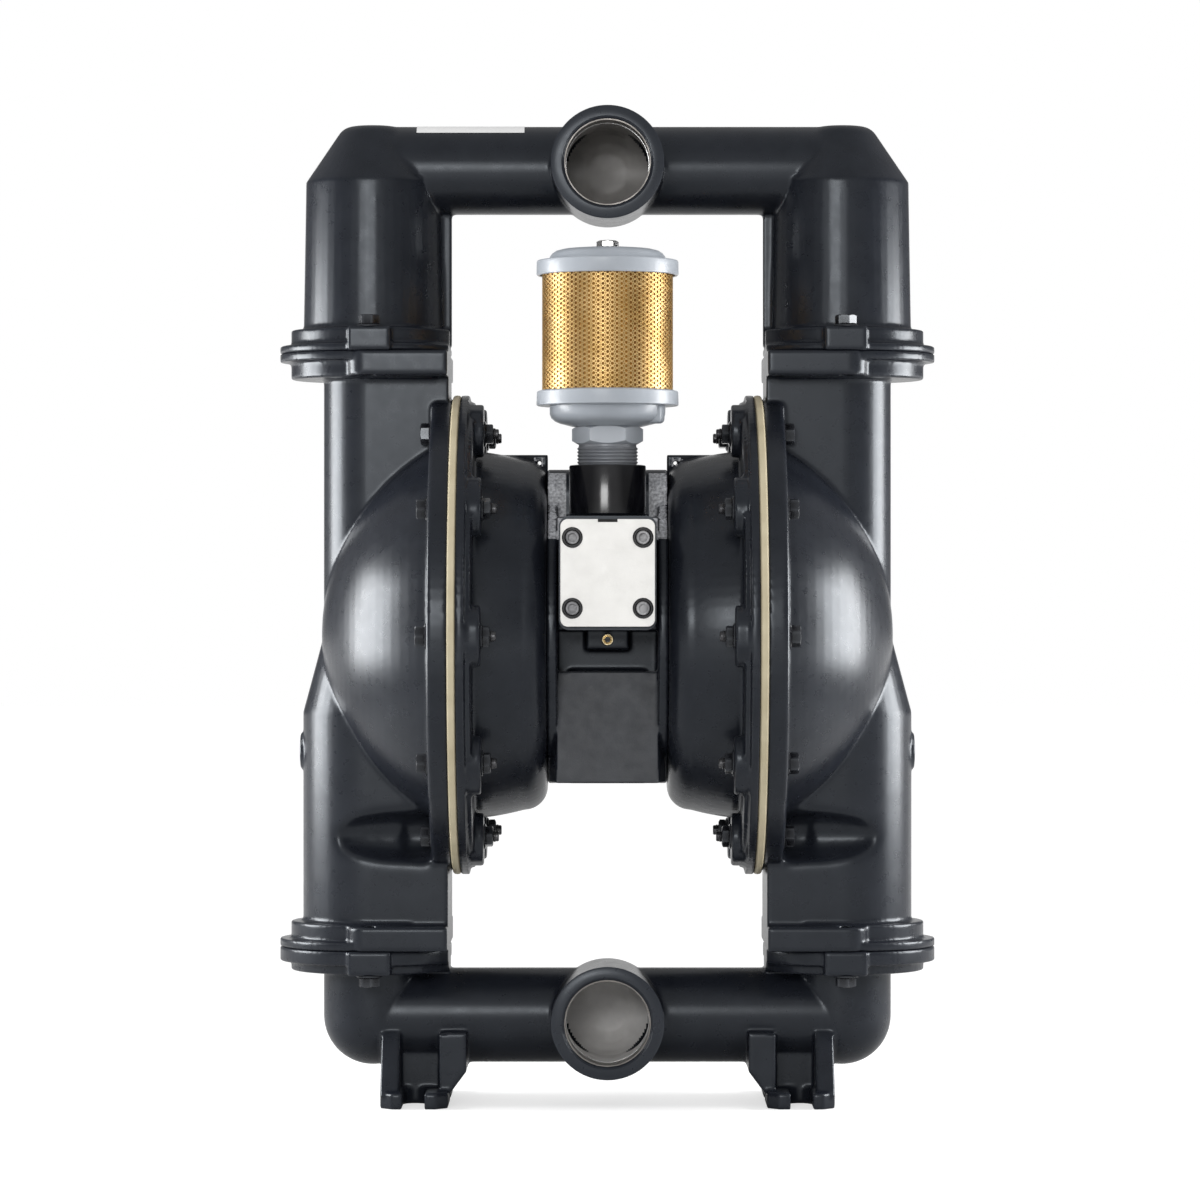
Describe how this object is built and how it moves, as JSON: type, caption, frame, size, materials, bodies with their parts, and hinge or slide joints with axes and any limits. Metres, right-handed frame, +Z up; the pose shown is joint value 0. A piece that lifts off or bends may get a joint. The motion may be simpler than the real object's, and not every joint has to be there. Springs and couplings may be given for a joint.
{
  "type": "diaphragm pump",
  "caption": "Air operated double diaphragm pump: black cast chambers, front-facing manifold ports above and below, slotted feet and an exhaust muffler.",
  "frame": {"origin": "centre of the ground rectangle under the four ends of the feet, midway between the two diaphragm chambers", "axes": "+Z up, -Y the way both ports face, +X to the right seen from the front, along the diaphragm rod"},
  "size_m": [0.451, 0.33, 0.6791],
  "materials": {
    "black_casting": "cast aluminium with a satin black powder coat",
    "diaphragm_rubber": "moulded, cream",
    "check_ball": "ground smooth, off-white",
    "seal_rubber": "matt black",
    "stainless_steel": "machined",
    "bare_aluminium": "bead blasted",
    "bearing_plastic": "machined, dark",
    "black_steel": "glossy black oxide on steel",
    "brass": "plain",
    "gilt_screen": "perforated, gold coloured",
    "filter_felt": "felt",
    "grey_paint": "blue-grey paint on a die casting"
  },
  "bodies": {
    "pump_housing": {"center_body": "black_casting", "earth_screw": "brass", "inlet_manifold": "black_casting", "inlet_manifold_bolts": "black_steel", "left_air_cap": "black_casting", "left_air_cap_screws": "black_steel", "left_diaphragm": "diaphragm_rubber", "left_fluid_cap": "black_casting", "left_inlet_seat": "stainless_steel", "left_outlet_seat": "stainless_steel", "left_rim_bolts": "black_steel", "left_rim_nuts": "black_steel", "left_rod_bush": "bearing_plastic", "left_rod_seal": "seal_rubber", "muffler_base": "grey_paint", "muffler_cap": "grey_paint", "muffler_element": "filter_felt", "muffler_nut": "stainless_steel", "muffler_screen": "gilt_screen", "muffler_tie_rod": "stainless_steel", "outlet_manifold": "black_casting", "outlet_manifold_bolts": "black_steel", "pilot_sleeve": "bearing_plastic", "right_air_cap": "black_casting", "right_air_cap_screws": "black_steel", "right_diaphragm": "diaphragm_rubber", "right_fluid_cap": "black_casting", "right_inlet_seat": "stainless_steel", "right_outlet_seat": "stainless_steel", "right_rim_bolts": "black_steel", "right_rim_nuts": "black_steel", "right_rod_bush": "bearing_plastic", "right_rod_seal": "seal_rubber", "seat_gaskets": "seal_rubber", "valve_block": "black_casting", "valve_block_gasket": "seal_rubber", "valve_cover_gasket": "seal_rubber", "valve_cover_plate": "bare_aluminium", "valve_cover_screws": "black_steel", "valve_plate": "stainless_steel"},
    "diaphragm_rod": {"diaphragm_rod": "stainless_steel", "left_inner_plate": "bare_aluminium", "right_inner_plate": "bare_aluminium", "left_outer_plate": "bare_aluminium", "right_outer_plate": "bare_aluminium", "left_plate_screw": "stainless_steel", "right_plate_screw": "stainless_steel"},
    "pilot_rod": {"pilot_rod": "stainless_steel"},
    "valve_spool": {"valve_spool": "bearing_plastic", "valve_insert": "bearing_plastic"},
    "left_inlet_ball": {"left_inlet_ball": "check_ball"},
    "left_outlet_ball": {"left_outlet_ball": "check_ball"},
    "right_inlet_ball": {"right_inlet_ball": "check_ball"},
    "right_outlet_ball": {"right_outlet_ball": "check_ball"}
  },
  "joints": [
    {"name": "rod_slide", "type": "slide", "parent": "pump_housing", "child": "diaphragm_rod", "axis": [1, 0, 0], "range_m": [-0.025, 0.025], "deforming": ["left_diaphragm", "right_diaphragm"]},
    {"name": "pilot_slide", "type": "slide", "parent": "pump_housing", "child": "pilot_rod", "axis": [1, 0, 0], "range_m": [-0.00501, 0.00501]},
    {"name": "spool_slide", "type": "slide", "parent": "pump_housing", "child": "valve_spool", "axis": [1, 0, 0], "range_m": [-0.0055, 0.0055]},
    {"name": "left_inlet_lift", "type": "slide", "parent": "pump_housing", "child": "left_inlet_ball", "axis": [0, 0, 1], "range_m": [0, 0.015]},
    {"name": "left_outlet_lift", "type": "slide", "parent": "pump_housing", "child": "left_outlet_ball", "axis": [0, 0, 1], "range_m": [0, 0.015]},
    {"name": "right_inlet_lift", "type": "slide", "parent": "pump_housing", "child": "right_inlet_ball", "axis": [0, 0, 1], "range_m": [0, 0.015]},
    {"name": "right_outlet_lift", "type": "slide", "parent": "pump_housing", "child": "right_outlet_ball", "axis": [0, 0, 1], "range_m": [0, 0.015]}
  ],
  "couplings": [
    {"joint": "pilot_slide", "follows": "rod_slide", "ratio": 0.2}
  ]
}
